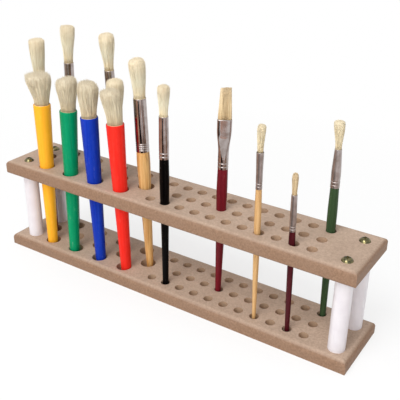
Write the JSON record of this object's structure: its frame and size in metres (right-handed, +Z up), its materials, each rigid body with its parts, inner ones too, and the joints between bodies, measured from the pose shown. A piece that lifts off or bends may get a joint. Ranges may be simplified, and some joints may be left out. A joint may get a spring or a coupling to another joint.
{
  "type": "brush rack",
  "caption": "Two-tier rounded fibreboard rack on four white posts, with staggered fine and broad holes, holding round and flat bristle brushes that lift out.",
  "frame": {"origin": "middle of the rack on the surface it stands on", "axes": "+X along the rack towards its fine-hole end, +Y to the back, +Z up"},
  "size_m": [0.473, 0.085, 0.2869],
  "materials": {
    "mdf": "satin, sealed fibreboard",
    "post": "smooth",
    "zinc_screw": "yellow passivated",
    "yellow_plastic": "gloss",
    "green_plastic": "gloss",
    "blue_plastic": "gloss",
    "red_plastic": "gloss",
    "worn_bristle": "coarse, worn",
    "bristle": "fine, straight",
    "ferrule": "bright",
    "timber": "clear lacquer",
    "black_lacquer": "gloss lacquer",
    "maroon_lacquer": "gloss lacquer",
    "green_lacquer": "gloss lacquer"
  },
  "bodies": {
    "rack": {"base_board": "mdf", "top_board": "mdf", "post_front_left": "post", "post_front_right": "post", "post_back_left": "post", "post_back_right": "post", "cap_screw_front_left": "zinc_screw", "cap_screw_front_right": "zinc_screw", "cap_screw_back_left": "zinc_screw", "cap_screw_back_right": "zinc_screw", "foot_screw_front_left": "zinc_screw", "foot_screw_front_right": "zinc_screw", "foot_screw_back_left": "zinc_screw", "foot_screw_back_right": "zinc_screw"},
    "yellow_brush": {"yellow_handle": "yellow_plastic", "yellow_tuft": "worn_bristle"},
    "green_brush": {"green_handle": "green_plastic", "green_tuft": "worn_bristle"},
    "blue_brush": {"blue_handle": "blue_plastic", "blue_tuft": "worn_bristle"},
    "red_brush": {"red_handle": "red_plastic", "red_tuft": "worn_bristle"},
    "wood_brush": {"wood_handle": "timber", "wood_ferrule": "ferrule", "wood_tuft": "bristle"},
    "black_brush": {"black_handle": "black_lacquer", "black_ferrule": "ferrule", "black_tuft": "bristle"},
    "flat_brush": {"flat_handle": "maroon_lacquer", "flat_ferrule": "ferrule", "flat_tuft": "bristle"},
    "pale_brush": {"pale_handle": "timber", "pale_ferrule": "ferrule", "pale_tuft": "bristle"},
    "short_brush": {"short_handle": "maroon_lacquer", "short_ferrule": "ferrule", "short_tuft": "bristle"},
    "olive_brush": {"olive_handle": "green_lacquer", "olive_ferrule": "ferrule", "olive_tuft": "bristle"},
    "hind_a_brush": {"hind_a_handle": "maroon_lacquer", "hind_a_ferrule": "ferrule", "hind_a_tuft": "bristle"},
    "hind_b_brush": {"hind_b_handle": "black_lacquer", "hind_b_ferrule": "ferrule", "hind_b_tuft": "bristle"},
    "hind_c_brush": {"hind_c_handle": "black_lacquer", "hind_c_ferrule": "ferrule", "hind_c_tuft": "bristle"},
    "hind_d_brush": {"hind_d_handle": "timber", "hind_d_ferrule": "ferrule", "hind_d_tuft": "bristle"}
  },
  "joints": [
    {"name": "lift_yellow", "type": "slide", "parent": "rack", "child": "yellow_brush", "axis": [0, 0, 1], "range_m": [0, 0.12]},
    {"name": "lift_green", "type": "slide", "parent": "rack", "child": "green_brush", "axis": [0, 0, 1], "range_m": [0, 0.12]},
    {"name": "lift_blue", "type": "slide", "parent": "rack", "child": "blue_brush", "axis": [0, 0, 1], "range_m": [0, 0.12]},
    {"name": "lift_red", "type": "slide", "parent": "rack", "child": "red_brush", "axis": [0, 0, 1], "range_m": [0, 0.12]},
    {"name": "lift_wood", "type": "slide", "parent": "rack", "child": "wood_brush", "axis": [0, 0, 1], "range_m": [0, 0.12]},
    {"name": "lift_black", "type": "slide", "parent": "rack", "child": "black_brush", "axis": [0, 0, 1], "range_m": [0, 0.12]},
    {"name": "lift_flat", "type": "slide", "parent": "rack", "child": "flat_brush", "axis": [0, 0, 1], "range_m": [0, 0.12]},
    {"name": "lift_pale", "type": "slide", "parent": "rack", "child": "pale_brush", "axis": [0, 0, 1], "range_m": [0, 0.12]},
    {"name": "lift_short", "type": "slide", "parent": "rack", "child": "short_brush", "axis": [0, 0, 1], "range_m": [0, 0.12]},
    {"name": "lift_olive", "type": "slide", "parent": "rack", "child": "olive_brush", "axis": [0, 0, 1], "range_m": [0, 0.12]},
    {"name": "lift_hind_a", "type": "slide", "parent": "rack", "child": "hind_a_brush", "axis": [0, 0, 1], "range_m": [0, 0.12]},
    {"name": "lift_hind_b", "type": "slide", "parent": "rack", "child": "hind_b_brush", "axis": [0, 0, 1], "range_m": [0, 0.12]},
    {"name": "lift_hind_c", "type": "slide", "parent": "rack", "child": "hind_c_brush", "axis": [0, 0, 1], "range_m": [0, 0.12]},
    {"name": "lift_hind_d", "type": "slide", "parent": "rack", "child": "hind_d_brush", "axis": [0, 0, 1], "range_m": [0, 0.12]}
  ]
}
